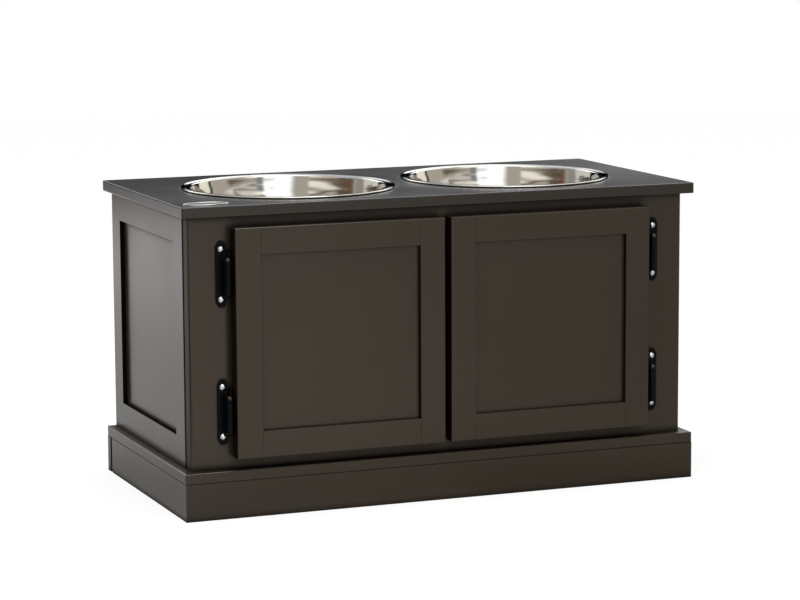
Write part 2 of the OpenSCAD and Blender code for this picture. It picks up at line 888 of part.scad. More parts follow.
// One pin: a shaft with a ball tip above the barrel and a low button below it.
module hinge_pin() {
    collar_r = barrel_r - 0.2;
    collar_h = 1.1;
    ball_r = barrel_r - 0.4;
    button_h = 1.2;
    translate([0, 0, barrel_low - button_h]) cylinder(r = pin_r, h = barrel_l + button_h, $fn = smooth);
    translate([0, 0, barrel_high]) cylinder(r = collar_r, h = collar_h, $fn = smooth);
    intersection() {
        translate([0, 0, barrel_high + collar_h]) sphere(r = ball_r, $fn = smooth);
        translate([-barrel_r, -barrel_r, barrel_high + collar_h / 2])
            cube([2 * barrel_r, 2 * barrel_r, 2 * barrel_r]);
    }
    translate([0, 0, barrel_low - button_h])
        cylinder(r1 = collar_r - button_h, r2 = collar_r, h = button_h, $fn = smooth);
}

module hinge_pins(side) {
    color(black_metal_colour) placed(side) at_left_hinges() hinge_pin();
}

module hinge_door_screws(side) {
    color(bright_metal_colour) placed(side) at_left_hinges() at_door_leaf_screws() pan_screw();
}

module hinge_frame_screws() {
    color(bright_metal_colour) placed()
        both_sides() at_left_hinges() at_leaf_screws() pan_screw();
}

// Magnet pocket, open towards the door.
module catch_pocket() {
    x = -catch_x - magnet_w / 2;
    z = catch_bottom + (catch_h - magnet_h) / 2;
    block([x, catch_front, z], [x + magnet_w, catch_front + magnet_d, z + magnet_h]);
}

module catch_housings() {
    color(catch_colour) placed() both_sides() difference() {
        soft_block([-catch_x - catch_w / 2, catch_front, catch_bottom],
            [-catch_x + catch_w / 2, catch_front + catch_d, opening_top], catch_corner_r, joint_arris_r);
        catch_pocket();
        at_catch_screws() small_screw(catch_screw_l, hole = true);
    }
}

module catch_magnets() {
    color(black_metal_colour) placed() both_sides() catch_pocket();
}

module catch_screws() {
    color(bright_metal_colour) placed()
        at_catch_screws() small_screw(catch_screw_l);
}

module strike_plate(side) {
    z = catch_bottom + (catch_h - strike_h) / 2;
    color(bright_metal_colour) placed(side) difference() {
        soft_block([-catch_x - strike_w / 2, door_back, z],
            [-catch_x + strike_w / 2, door_back + strike_t, z + strike_h], joint_arris_r, joint_arris_r);
        at_strike_screw() small_screw(strike_screw_l, hole = true);
    }
}

module strike_screw(side) {
    color(bright_metal_colour) placed(side)
        at_strike_screw() small_screw(strike_screw_l);
}

function oval(l, w) = [for (i = [0:47]) [l / 2 * cos(7.5 * i), w / 2 * sin(7.5 * i)]];

// Blank oval plate with a fine raised rim.
module badge() {
    rim = 1.2;
    step = 0.3;
    color(bright_metal_colour) placed()
        translate([-half_w + badge_left + badge_l / 2, -half_d + badge_front + badge_w / 2, cabinet_h])
            difference() {
                linear_extrude(height = badge_t) polygon(oval(badge_l, badge_w));
                translate([0, 0, badge_t - step])
                    linear_extrude(height = past) polygon(oval(badge_l - 2 * rim, badge_w - 2 * rim));
            }
}

// One face of the bowl's sheet from its middle out to the rim. The inner face lies a sheet's
// thickness inside the outer one, so its lower arc is tighter and its upper arc is wider.
function bowl_face(inset) =
    let (
        top_x = bowl_wall_r + fillet_r,
        top_z = flange_level - fillet_r,
        wall_top = [top_x - fillet_r * cos(bowl_lean), top_z + fillet_r * sin(bowl_lean)],
        corner_z = -bowl_depth + bowl_corner_r,
        wall_low_z = corner_z - bowl_corner_r * sin(bowl_lean),
        wall_low_x = wall_top.x - (wall_top.y - wall_low_z) * tan(bowl_lean),
        corner_x = wall_low_x - bowl_corner_r * cos(bowl_lean)
    )
    concat(
        [[0, -bowl_depth + inset]],
        arc(corner_x, corner_z, bowl_corner_r - inset, -90, -bowl_lean, 8),
        arc(top_x, top_z, fillet_r + inset, 180 - bowl_lean, 90, 5),
        [[bowl_rim_r - bead_r, flange_level + inset]]
    );

function backwards(list) = [for (i = [len(list) - 1:-1:0]) list[i]];

// Spun sheet-steel bowl with a rolled bead round its rim.
module bowl(side) {
    color(bright_metal_colour) placed(side) translate([-bowl_x, bowl_y, cabinet_h]) union() {
        rotate_extrude($fn = round) polygon(concat(bowl_face(0), backwards(bowl_face(bowl_t))));
        rotate_extrude($fn = round) translate([bowl_rim_r - bead_r, bead_level]) circle(r = bead_r, $fn = 24);
    }
}

top_board();
base_slab();
plinth_front();
plinth_side(left);  // plinth_left
plinth_side(right);  // plinth_right
plinth_rear();
plinth_corner_blocks();
plinth_screws();
frame_stile(left);  // frame_left_stile
frame_stile(right);  // frame_right_stile
frame_top_rail();
frame_bottom_rail();
frame_dowels();
side_front_stile(left);  // left_side_front_stile
side_rear_stile(left);  // left_side_rear_stile
side_top_rail(left);  // left_side_top_rail
side_bottom_rail(left);  // left_side_bottom_rail
side_panel(left);  // left_side_panel
side_front_stile(right);  // right_side_front_stile
side_rear_stile(right);  // right_side_rear_stile
side_top_rail(right);  // right_side_top_rail
side_bottom_rail(right);  // right_side_bottom_rail
side_panel(right);  // right_side_panel
back_panel();
back_panel_screws();
cleat(left);  // left_cleat
cleat(right);  // right_cleat
cleat_screws();
base_screws();
door_hinge_stile(left);  // left_door_hinge_stile
door_meeting_stile(left);  // left_door_meeting_stile
door_top_rail(left);  // left_door_top_rail
door_bottom_rail(left);  // left_door_bottom_rail
door_panel(left);  // left_door_panel
door_hinge_stile(right);  // right_door_hinge_stile
door_meeting_stile(right);  // right_door_meeting_stile
door_top_rail(right);  // right_door_top_rail
door_bottom_rail(right);  // right_door_bottom_rail
door_panel(right);  // right_door_panel
hinge_frame_leaves(left);  // left_hinge_frame_leaves
hinge_door_leaves(left);  // left_hinge_door_leaves
hinge_pins(left);  // left_hinge_pins
hinge_door_screws(left);  // left_hinge_door_screws
hinge_frame_leaves(right);  // right_hinge_frame_leaves
hinge_door_leaves(right);  // right_hinge_door_leaves
hinge_pins(right);  // right_hinge_pins
hinge_door_screws(right);  // right_hinge_door_screws
hinge_frame_screws();
catch_housings();
catch_magnets();
catch_screws();
strike_plate(left);  // left_strike_plate
strike_plate(right);  // right_strike_plate
strike_screw(left);  // left_strike_screw
strike_screw(right);  // right_strike_screw
badge();
bowl(left);  // left_bowl
bowl(right);  // right_bowl
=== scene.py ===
import bpy
import numpy as np
from mathutils import Matrix, Vector


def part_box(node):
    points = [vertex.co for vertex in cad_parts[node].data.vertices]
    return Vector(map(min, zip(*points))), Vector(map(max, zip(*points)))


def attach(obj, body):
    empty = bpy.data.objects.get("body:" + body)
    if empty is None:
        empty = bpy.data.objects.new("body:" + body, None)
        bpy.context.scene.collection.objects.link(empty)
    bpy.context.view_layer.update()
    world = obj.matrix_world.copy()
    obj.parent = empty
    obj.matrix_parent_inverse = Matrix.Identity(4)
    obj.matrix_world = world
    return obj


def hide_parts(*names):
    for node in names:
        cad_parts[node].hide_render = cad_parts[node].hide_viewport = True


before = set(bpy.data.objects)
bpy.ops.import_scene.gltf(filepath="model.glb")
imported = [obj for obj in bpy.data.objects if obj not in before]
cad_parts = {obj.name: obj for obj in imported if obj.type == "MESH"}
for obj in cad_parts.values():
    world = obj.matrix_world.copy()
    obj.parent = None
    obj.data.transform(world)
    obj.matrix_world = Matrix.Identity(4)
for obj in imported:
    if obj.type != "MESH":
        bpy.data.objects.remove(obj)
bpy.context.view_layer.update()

# ---------------------------------------------------------------- Studio
# A plain white set under one soft box, seen from the front left and a little above. Mirror rays
# alone see soft cards and a shaded, faintly warm floor in its place. These were set until lacquer
# and steel looked as in the photograph. In a plain white room the boards look paler and greyer.


def linear(hex_colour):
    """Linear colour of an sRGB hex value: channel / 12.92 up to 0.04045, above that
    ((channel + 0.055) / 1.055) to the power 2.4."""
    channels = np.array([int(hex_colour[i:i + 2], 16) for i in (1, 3, 5)]) / 255
    low, high = channels / 12.92, ((channels + 0.055) / 1.055) ** 2.4
    return (*np.where(channels <= 0.04045, low, high).tolist(), 1.0)


def node(tree, kind, inputs=None, **settings):
    """Adds one shader node. A socket given as an input is linked, anything else is set on it."""
    made = tree.nodes.new("ShaderNode" + kind)
    for name, value in settings.items():
        setattr(made, name, value)
    for name, value in (inputs or {}).items():
        if isinstance(value, bpy.types.NodeSocket):
            tree.links.new(value, made.inputs[name])
        else:
            made.inputs[name].default_value = value
    return made


# Camera angles in degrees, the point it aims at and its distance from it in metres, and its focal
# length in widths of the 800-pixel picture.
turn, tilt, roll = np.radians([21.713, 8.486, -0.302])
aim, distance = np.array([0.00436, 0.0019, 0.20027]), 3.2759
focal_widths, sensor_mm = 2883.28 / 800, 36
forward = np.array([np.sin(turn) * np.cos(tilt), np.cos(turn) * np.cos(tilt), -np.sin(tilt)])
right = np.array([np.cos(turn), -np.sin(turn), 0.0])
up = np.cross(right, forward)
camera = bpy.data.objects.new("camera", bpy.data.cameras.new("camera"))
bpy.context.collection.objects.link(camera)
columns = np.array([
    np.cos(roll) * right + np.sin(roll) * up,
    np.cos(roll) * up - np.sin(roll) * right,
    -forward,
    aim - forward * distance,
])
camera.matrix_world = Matrix([*columns.T.tolist(), [0, 0, 0, 1]])
camera.data.lens = focal_widths * sensor_mm
camera.data.clip_end = 50
bpy.context.scene.camera = camera
bpy.context.scene.view_settings.view_transform = "Standard"

soft_box = bpy.data.objects.new("soft_box", bpy.data.lights.new("soft_box", "AREA"))
soft_box.data.shape = "RECTANGLE"
soft_box.data.size, soft_box.data.size_y = 1.7, 1.2
soft_box.data.energy = 20
soft_box.matrix_world = Matrix.Translation((-0.25, -0.35, 2.3))
bpy.context.collection.objects.link(soft_box)


def toward(tree, direction, centre, inner, outer, inside, outside):
    """Value that is `inside` within the angle `inner` of a centre direction, `outside` beyond the
    angle `outer`, and smooth between them: a map of the cosine between the two directions."""
    centre = Vector(centre).normalized()
    cosine = node(tree, "VectorMath", {0: direction, 1: centre}, operation="DOT_PRODUCT")
    return node(tree, "MapRange", {
        "Value": cosine.outputs["Value"],
        "From Min": np.cos(np.radians(outer)), "From Max": np.cos(np.radians(inner)),
        "To Min": outside, "To Max": inside}, interpolation_type="SMOOTHSTEP").outputs["Result"]


def times(tree, *values):
    """Product of several values."""
    product = values[0]
    for value in values[1:]:
        product = node(tree, "Math", {0: product, 1: value}, operation="MULTIPLY").outputs["Value"]
    return product


def window(tree, value, low, high, soft):
    """1 where a value lies between two limits and 0 outside them, with smooth flanks."""
    rise = node(tree, "MapRange", {"Value": value, "From Min": low - soft, "From Max": low + soft},
                interpolation_type="SMOOTHSTEP").outputs["Result"]
    fall = node(tree, "MapRange", {"Value": value, "From Min": high + soft, "From Max": high - soft},
                interpolation_type="SMOOTHSTEP").outputs["Result"]
    return times(tree, rise, fall)


# The camera sees white and diffuse light comes from an even grey. Only mirror rays see the cards.
world = bpy.data.worlds.new("white_studio")
bpy.context.scene.world = world
world.use_nodes = True
sky = world.node_tree
sky.nodes.clear()
around = node(sky, "TexCoord").outputs["Generated"]

# Bearings run clockwise seen from above, from 42 degrees clockwise of straight behind the feeder.
ahead = node(sky, "VectorMath", {0: around, 1: (0.6652, 0.7466, 0)}, operation="DOT_PRODUCT")
aside = node(sky, "VectorMath", {0: around, 1: (0.7466, -0.6652, 0)}, operation="DOT_PRODUCT")
turned = node(sky, "Math", {0: aside.outputs["Value"], 1: ahead.outputs["Value"]}, operation="ARCTAN2")
bearing = times(sky, turned.outputs["Value"], np.degrees(1))
lift = node(sky, "SeparateXYZ", {"Vector": around}).outputs["Z"]
raised = node(sky, "Math", {0: lift}, operation="ARCSINE")
height = times(sky, raised.outputs["Value"], np.degrees(1))

# Each line is one soft card, placed by where the photographed bowls show a reflection: its first and
# last bearing, its lowest and highest elevation and the softness of its edges in degrees, its colour
# and how bright it is. A later card covers an earlier one. Left and right are the feeder's own, seen
# from the front.
surround = linear("#e0e2e6")
for first, last, low, high, soft, colour, strength in (
        (-190, -141, -20, 60, 5, "#e2ddd2", 0.82),      # pale card behind the camera
        (163, 190, -20, 60, 5, "#e2ddd2", 0.82),        # its other end
        (-176, -126, 14.5, 17.5, 2, "#8a7763", 0.8),    # brown strip on it
        (-176, -122, 20.5, 30, 2.5, "#fffaf0", 1.4),    # bright strip over the brown one
        (-140, -114, -20, 18, 6, "#8f7b63", 0.62),      # brown card, left
        (-120, -116, 10, 13, 2.5, "#b5672f", 0.8),      # orange strip on it
        (-112, -98, -20, 40, 4, "#c9c5bd", 0.75),       # grey card, left
        (-97, -64, -20, 40, 3, "#f7f5f0", 1.05),        # white reflector, behind left
        (-92, -80, 2, 6, 1.5, "#8d8a85", 1.0),          # grey patch on it
        (-62, -20, 8, 60, 8, "#a9aeb7", 1.7),           # grey-blue card, behind
        (-20, 30, 10, 60, 8, "#f4f6f8", 2.55),          # white card, behind right
        (-72, -40, 18, 40, 3, "#ffffff", 3.2),          # soft box, behind left
        (-66, 25, -20, 14, 3, "#0b0c0e", 0.4),          # black card, low behind the feeder
        (26, 46, -20, 45, 2, "#fbf7ea", 1.35),          # strip light, right
        (46, 51, -20, 30, 1.5, "#4a4641", 1.0),         # dark card beside it
        (52, 126, -20, 60, 4, "#e6ddd0", 0.82),         # cream card, front right
        (78, 110, -5, 14.5, 3, "#706c67", 1.0),         # dark grey strip, low on it
        (88, 98, -5, 24, 4, "#c8c0b4", 0.9),            # pale upright strip over that
        (60, 122, 20, 28, 3, "#fffdf8", 1.1),           # bright strip above
        (125, 163, 12, 60, 5, "#f7faff", 2.1),          # large soft box over the camera
        (127, 141, 11, 18, 3, "#b4bcc8", 1.0),          # blue-grey patch over its right end
        (82, 119, 22, 24, 1.5, "#857f76", 0.8),         # brown strip across the bright one
        (82, 119, 13.5, 15.5, 1.5, "#6f6a63", 0.8),     # brown strip below that
        (118, 127, 14, 25, 3, "#a0a3a8", 1.0),          # grey patch at the bright one's left end
        (98, 132, 31, 65, 4, "#fffdf6", 3.6),           # smaller soft box, higher and further right
        (150, 178, 4, 13, 2, "#f4f3f0", 1.5),           # white card under the large soft box
        (120, 150, -5, 11, 3, "#878d98", 1.0),          # grey-blue card, low
):
    wide, tall = window(sky, bearing, first, last, soft), window(sky, height, low, high, soft)
    glow = tuple(channel * strength for channel in linear(colour)[:3]) + (1.0,)
    surround = node(sky, "Mix", {
        "Factor": times(sky, wide, tall), "A": surround, "B": glow}, data_type="RGBA").outputs["Result"]
rays = node(sky, "LightPath").outputs
seen = node(sky, "Math", {
    0: rays["Is Camera Ray"], 1: rays["Is Transmission Ray"]}, operation="MAXIMUM")
even_grey = (0.6, 0.6, 0.6, 1.0)
fill = node(sky, "Mix", {
    "Factor": rays["Is Glossy Ray"], "A": even_grey, "B": surround}, data_type="RGBA")
level = node(sky, "Mix", {
    "Factor": seen.outputs["Value"], "A": fill.outputs["Result"], "B": linear("#ffffff")},
    data_type="RGBA")
backdrop = node(sky, "Background", {"Color": level.outputs["Result"], "Strength": 1.0})
node(sky, "OutputWorld", {"Surface": backdrop.outputs["Background"]})

# The floor is a flat disc of white paper: points (r cos a, r sin a, 0). A shadow falls on it, and it
# looks white to the camera.
floor_r, floor_corners = 5, 96
angles = np.linspace(0, 2 * np.pi, floor_corners, endpoint=False)
rim = floor_r * np.stack([np.cos(angles), np.sin(angles), np.zeros(floor_corners)], 1)
floor_mesh = bpy.data.meshes.new("paper_floor")
floor_mesh.from_pydata(rim.tolist(), [], [list(range(floor_corners))])
floor = bpy.data.objects.new("paper_floor", floor_mesh)
bpy.context.collection.objects.link(floor)
paper = bpy.data.materials.new("white_background_paper")
paper.use_nodes = True
tree = paper.node_tree
tree.nodes.clear()
spot = node(tree, "TexCoord").outputs["Object"]
across = node(tree, "SeparateXYZ", {"Vector": spot}).outputs["X"]
away = node(tree, "VectorMath", {0: spot}, operation="LENGTH").outputs["Value"]
ahead = node(tree, "VectorMath", {0: spot}, operation="NORMALIZE").outputs["Vector"]

# What mirror rays see of the floor is a brightness by place: low close to the plinth and higher
# further out, about half as high to the front right and the right, nearly dark on the left beyond
# 0.9 m, and low again behind past 2.5 m. It was set by comparing the boards with the photograph,
# and stands for no known thing.
# The low brightness close to the plinth is a painted shadow of the feeder on the mirrored floor.
near = node(tree, "MapRange", {
    "Value": away, "From Min": 0.3, "From Max": 0.54, "To Min": 0.48, "To Max": 0.85},
    interpolation_type="SMOOTHSTEP").outputs["Result"]
far = node(tree, "MapRange", {
    "Value": away, "From Min": 0.9, "From Max": 2.6, "To Min": 1.03, "To Max": 1.42},
    interpolation_type="SMOOTHSTEP").outputs["Result"]
straight_ahead = toward(tree, ahead, (0.1, -0.995, 0), 30, 80, 1.5, 1.0)
whole_front = toward(tree, ahead, (0.3, -0.95, 0), 35, 85, 0.74, 1.0)
front_right = toward(tree, ahead, (0.85, -0.53, 0), 15, 65, 0.6, 1.0)
left_to_right = node(tree, "MapRange", {
    "Value": across, "From Min": -0.3, "From Max": 0.3,
    "To Min": 0.98, "To Max": 1.08}).outputs["Result"]
past_the_right = node(tree, "MapRange", {
    "Value": across, "From Min": 0.3, "From Max": 1.0, "To Min": 1.0, "To Max": 0.7}).outputs["Result"]
past_plinth = node(tree, "MapRange", {
    "Value": away, "From Min": 0.5, "From Max": 0.9}).outputs["Result"]
front_left = node(tree, "Mix", {
    "Factor": past_plinth, "A": 1.0,
    "B": toward(tree, ahead, (-0.93, -0.37, 0), 15, 50, 0.15, 1.0)}).outputs["Result"]
left_rise = node(tree, "MapRange", {
    "Value": away, "From Min": 0.5, "From Max": 1.9, "To Min": 0.88, "To Max": 1.16}).outputs["Result"]
behind_left = node(tree, "Mix", {
    "Factor": toward(tree, ahead, (-0.8, 0.6, 0), 35, 75, 1.0, 0.0), "A": 1.0, "B": left_rise,
}).outputs["Result"]
floor_end = node(tree, "MapRange", {"Value": away, "From Min": 2.5, "From Max": 3.0}).outputs["Result"]
far_behind = node(tree, "Mix", {
    "Factor": floor_end, "A": 1.0,
    "B": toward(tree, ahead, (0.37, 0.93, 0), 40, 52, 0.03, 1.0)}).outputs["Result"]
mirrored = times(tree, near, far, straight_ahead, whole_front, front_right, left_to_right,
                 past_the_right, front_left, behind_left, far_behind)

# The fronts also mirror a faint warmth from the floor ahead, because the photograph's are browner
# than this lacquer is under white light. What warms them there isn't known.
fading = node(tree, "MapRange", {
    "Value": away, "From Min": 1.7, "From Max": 2.3, "To Min": 1.0, "To Max": 0.6}).outputs["Result"]
warmth = times(tree, toward(tree, ahead, (0.3, -0.95, 0), 35, 85, 1.0, 0.0), fading)
further = node(tree, "MapRange", {"Value": away, "From Min": 0.8, "From Max": 1.5}).outputs["Result"]
cream = node(tree, "Mix", {
    "Factor": further, "A": linear("#fff4e8"), "B": linear("#fff0e2")}, data_type="RGBA")
tint = node(tree, "Mix", {
    "Factor": warmth, "A": linear("#fbfaf8"), "B": cream.outputs["Result"]}, data_type="RGBA")

# To the camera the floor is 62 % white glow over matt paper, which keeps the shadow.
rays = node(tree, "LightPath").outputs
matt = node(tree, "BsdfDiffuse", {"Color": linear("#f2f2f1")}).outputs["BSDF"]
glow = node(tree, "Emission", {"Color": linear("#ffffff"), "Strength": 1.27}).outputs["Emission"]
to_eye = node(tree, "MixShader", {0: 0.62, 1: matt, 2: glow}).outputs["Shader"]
to_gloss = node(tree, "Emission", {"Color": tint.outputs["Result"], "Strength": mirrored})
not_eye = node(tree, "MixShader", {
    0: rays["Is Glossy Ray"], 1: matt, 2: to_gloss.outputs["Emission"]}).outputs["Shader"]
seen = node(tree, "MixShader", {0: rays["Is Camera Ray"], 1: not_eye, 2: to_eye}).outputs["Shader"]
node(tree, "OutputMaterial", {"Surface": seen})
floor_mesh.materials.append(paper)

# ---------------------------------------------------------------- Lacquered boards
# Plinth, face frame, side frames, doors and back panel: medium-density fibreboard cut to frames and
# sunk panels, sealed and sprayed with a dark espresso lacquer, then glued up. The two sprayed coats
# leave a satin mirror with a fine orange peel and long, very shallow waves.


def new_material(name):
    """Empty material with its Principled shader. Returns the material, its tree and the shader."""
    material = bpy.data.materials.new(name)
    material.use_nodes = True
    material.node_tree.nodes.clear()
    shader = node(material.node_tree, "BsdfPrincipled")
    node(material.node_tree, "OutputMaterial", {"Surface": shader.outputs["BSDF"]})
    return material, material.node_tree, shader


def wear(*names, material):
    """Gives the material to the CAD nodes of these names."""
    for name in names:
        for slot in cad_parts[name].material_slots:
            slot.material = material


def relief(tree, layers, coordinates):
    """Bumps laid over each other. Each layer is a noise of one grain size and one height in mm."""
    normal = None
    for grain, height, detail in layers:
        noise = node(tree, "TexNoise", {
            "Vector": coordinates, "Scale": 1000 / grain, "Detail": detail})
        inputs = {"Height": noise.outputs["Fac"], "Distance": height / 1000, "Strength": 1.0}
        if normal:
            inputs["Normal"] = normal
        normal = node(tree, "Bump", inputs).outputs["Normal"]
    return normal


def lacquer(name, dark, pale, roughness, layers, reach, edge=1.0, inset=1.0, seam=None, corner=0.15):
    """Sprayed lacquer: its colour drifts a little over 90 mm, its gloss over 140 mm. It carries painted
    shade: it keeps only a share of its colour and shine in corners where a face lies within `reach`
    metres (`corner`), on faces that point sideways (`edge`), on the narrow faces round a side's sunk
    panel (`inset`) and in a seam at that y, as these look in the photograph. There it turns near black.
    A thin coat there is a guess."""
    material, tree, shader = new_material(name)
    # The near-black colour here is painted shade, which corners, sideways edges, sunk-panel edges and
    # the seam fade to.
    painted_shade_colour, dull, seam_share = linear("#0d0a07"), 0.8, 0.1
    seam_half, seam_soft = 0.0024, 0.0006
    coordinates = node(tree, "TexCoord").outputs["Object"]
    cloud = node(tree, "TexNoise", {"Vector": coordinates, "Scale": 1000 / 90, "Detail": 3})
    colour = node(tree, "Mix", {
        "Factor": cloud.outputs["Fac"], "A": linear(dark), "B": linear(pale)}, data_type="RGBA")
    haze = node(tree, "TexNoise", {"Vector": coordinates, "Scale": 1000 / 140, "Detail": 2})
    gloss = node(tree, "MapRange", {
        "Value": haze.outputs["Fac"], "From Min": 0.3, "From Max": 0.7,
        "To Min": roughness[0], "To Max": roughness[1]})
    open_side = node(tree, "AmbientOcclusion", {"Distance": reach}, samples=8)
    unshaded_share = node(tree, "MapRange", {
        "Value": open_side.outputs["AO"], "From Min": 0.4, "From Max": 0.9,
        "To Min": corner, "To Max": 1.0}).outputs["Result"]
    facing = node(tree, "SeparateXYZ", {"Vector": node(tree, "TexCoord").outputs["Normal"]})
    sideways = node(tree, "Math", {0: facing.outputs["X"]}, operation="ABSOLUTE").outputs["Value"]
    if edge < 1:
        unshaded_part = node(tree, "MapRange", {
            "Value": sideways, "From Min": 0.75, "From Max": 0.95, "To Min": 1.0, "To Max": edge})
        unshaded_share = times(tree, unshaded_share, unshaded_part.outputs["Result"])
    if inset < 1:
        outside = node(tree, "Math", {0: sideways, 1: facing.outputs["Y"]}, operation="MAXIMUM")
        unshaded_part = node(tree, "MapRange", {
            "Value": outside.outputs["Value"], "From Min": 0.4, "From Max": 0.75,
            "To Min": inset, "To Max": 1.0})
        unshaded_share = times(tree, unshaded_share, unshaded_part.outputs["Result"])
    if seam is not None:
        along_y = node(tree, "SeparateXYZ", {"Vector": coordinates}).outputs["Y"]
        groove = window(tree, along_y, seam - seam_half, seam + seam_half, seam_soft)
        unshaded_part = node(tree, "MapRange", {"Value": groove, "To Min": 1.0, "To Max": seam_share})
        unshaded_share = times(tree, unshaded_share, unshaded_part.outputs["Result"])
    # Painted shade: where the share falls, the colour turns near black, the roughness rises to 0.8 and
    # the reflection weakens.
    dulled = node(tree, "Mix", {"Factor": unshaded_share, "A": dull, "B": gloss.outputs["Result"]})
    sprayed = node(tree, "Mix", {
        "Factor": unshaded_share, "A": painted_shade_colour, "B": colour.outputs["Result"]}, data_type="RGBA")
    links = (("Base Color", sprayed.outputs["Result"]), ("Roughness", dulled.outputs["Result"]),
             ("Specular IOR Level", times(tree, unshaded_share, 0.5)),
             ("Normal", relief(tree, layers, coordinates)))
    for socket, value in links:
        tree.links.new(value, shader.inputs[socket])
    shader.inputs["IOR"].default_value = 1.5
    return material


# Orange peel is about 2.8 mm from crest to crest, which just shows in the render.
peel = [(60, 0.10, 1), (2.8, 0.010, 2)]
coat = ("#2f261a", "#352a1e", (0.17, 0.24), peel)
# These boards get painted shade, near black and duller, in corners within 10 mm; the base slab within
# 30 mm, which darkens its ledge in front of the body.
wear("plinth_front", "plinth_left", "plinth_right", "plinth_rear", "back_panel", "left_side_panel",
     "right_side_panel", material=lacquer("sprayed_espresso_lacquer", *coat, 0.01))
wear("base_slab", material=lacquer("espresso_lacquer_on_the_base_slab", *coat, 0.03))
# Round the side panels the narrow faces about each sunk panel also get painted shade, down to a tenth
# of the colour and shine.
wear(*[f"{side}_side_{part}" for side in ("left", "right")
       for part in ("rear_stile", "top_rail", "bottom_rail")],
     material=lacquer("espresso_lacquer_round_the_side_panels", *coat, 0.01, inset=0.1))

# The face frame meets the sides in a V as deep as their rounded arrises. The V and the frame's
# outer edges look dark in the photograph.
# The V gets painted shade, down to a tenth of the colour and shine; the frame's sideways outer edges
# are darkened to half.
frame_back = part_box("frame_left_stile")[1][1]
wear("left_side_front_stile", "right_side_front_stile",
     material=lacquer("espresso_lacquer_at_the_v_joint", *coat, 0.01, seam=frame_back))
wear("frame_left_stile", "frame_right_stile", "frame_top_rail", "frame_bottom_rail",
     material=lacquer("espresso_lacquer_on_the_face_frame", *coat, 0.01, edge=0.5, seam=frame_back))

# In the photograph the doors' upright edges look darkest, and their sunk panels' corners less dark.
# Painted shade: the doors' upright side edges keep 12 % of the lacquer's colour and shine, and corners
# within 4 mm 15 %; the sunk panels' corners keep half.
wear(*[f"{side}_door_{part}" for side in ("left", "right")
       for part in ("hinge_stile", "meeting_stile", "top_rail", "bottom_rail")],
     material=lacquer("espresso_lacquer_on_the_doors", *coat, 0.004, edge=0.12))
wear("left_door_panel", "right_door_panel",
     material=lacquer("espresso_lacquer_on_the_door_panels", *coat, 0.004, corner=0.5))

# ---------------------------------------------------------------- Top board
# The same board and lacquer with a softer, greyer sheen and fine scuffs, as a face gets that is
# wiped down after each meal. That it was is a guess from its look.
# The top also gets painted shade in corners within 5 mm, such as round the bowls' beads.
top_lacquer = lacquer("wiped_espresso_lacquer", "#27211c", "#2d2722", (0.2, 0.26),
                      [(60, 0.10, 1), (2.0, 0.012, 4)], 0.005)
wear("top_board", material=top_lacquer)

# ---------------------------------------------------------------- Cleats, blocks and dowels
# Planed pine, left bare inside: straight grain with dark latewood lines about 4 mm apart. The
# cleats and dowels run front to back, the plinth blocks stand upright.


def pine(name, along):
    """Bare pine whose grain runs along one axis: noise stretched 20 times along that axis."""
    material, tree, shader = new_material(name)
    coordinates = node(tree, "TexCoord").outputs["Object"]
    stretch = [1.0, 1.0, 1.0]
    stretch["xyz".index(along)] = 0.05
    drawn = node(tree, "Mapping", {"Vector": coordinates, "Scale": stretch}).outputs["Vector"]
    lines = node(tree, "TexNoise", {
        "Vector": drawn, "Scale": 1000 / 4, "Detail": 4, "Distortion": 0.4})
    pores = node(tree, "TexNoise", {"Vector": drawn, "Scale": 1000 / 0.8, "Detail": 2})
    bands = node(tree, "MapRange", {
        "Value": lines.outputs["Fac"], "From Min": 0.35, "From Max": 0.68})
    colour = node(tree, "Mix", {
        "Factor": bands.outputs["Result"], "A": linear("#d9b98a"), "B": linear("#a9794a")},
        data_type="RGBA")
    tree.links.new(colour.outputs["Result"], shader.inputs["Base Color"])
    bump = node(tree, "Bump", {"Height": pores.outputs["Fac"], "Distance": 0.00005, "Strength": 1.0})
    tree.links.new(bump.outputs["Normal"], shader.inputs["Normal"])
    shader.inputs["Roughness"].default_value = 0.7
    return material


wear("left_cleat", "right_cleat", "frame_dowels", material=pine("planed_pine_lengthwise", "y"))
wear("plinth_corner_blocks", material=pine("planed_pine_upright", "z"))

# ---------------------------------------------------------------- Screws
# Cross-head steel screws, drawn wire with rolled threads, bright zinc plated where they show on
# the hinges and dull zinc plated inside. Plating gives a bright mirror with faint clouding.


def plated(name, pale, dark, roughness):
    """Plated steel: colour and gloss drift over 3 mm, with a fine unevenness of 0.3 mm."""
    material, tree, shader = new_material(name)
    coordinates = node(tree, "TexCoord").outputs["Object"]
    cloud = node(tree, "TexNoise", {
        "Vector": coordinates, "Scale": 1000 / 3, "Detail": 3}).outputs["Fac"]
    colour = node(tree, "Mix", {
        "Factor": cloud, "A": linear(pale), "B": linear(dark)}, data_type="RGBA")
    gloss = node(tree, "MapRange", {"Value": cloud, "To Min": roughness[0], "To Max": roughness[1]})
    links = (("Base Color", colour.outputs["Result"]), ("Roughness", gloss.outputs["Result"]),
             ("Normal", relief(tree, [(0.3, 0.0006, 1)], coordinates)))
    for socket, value in links:
        tree.links.new(value, shader.inputs[socket])
    shader.inputs["Metallic"].default_value = 1.0
    return material


wear("hinge_frame_screws", "left_hinge_door_screws", "right_hinge_door_screws",
     material=plated("bright_zinc_plated_steel", "#e9eef6", "#c8cfd8", (0.12, 0.3)))
wear("plinth_screws", "back_panel_screws", "cleat_screws", "base_screws", "catch_screws",
     "left_strike_screw", "right_strike_screw",
     material=plated("dull_zinc_plated_steel", "#c9ccce", "#a9acb0", (0.28, 0.45)))

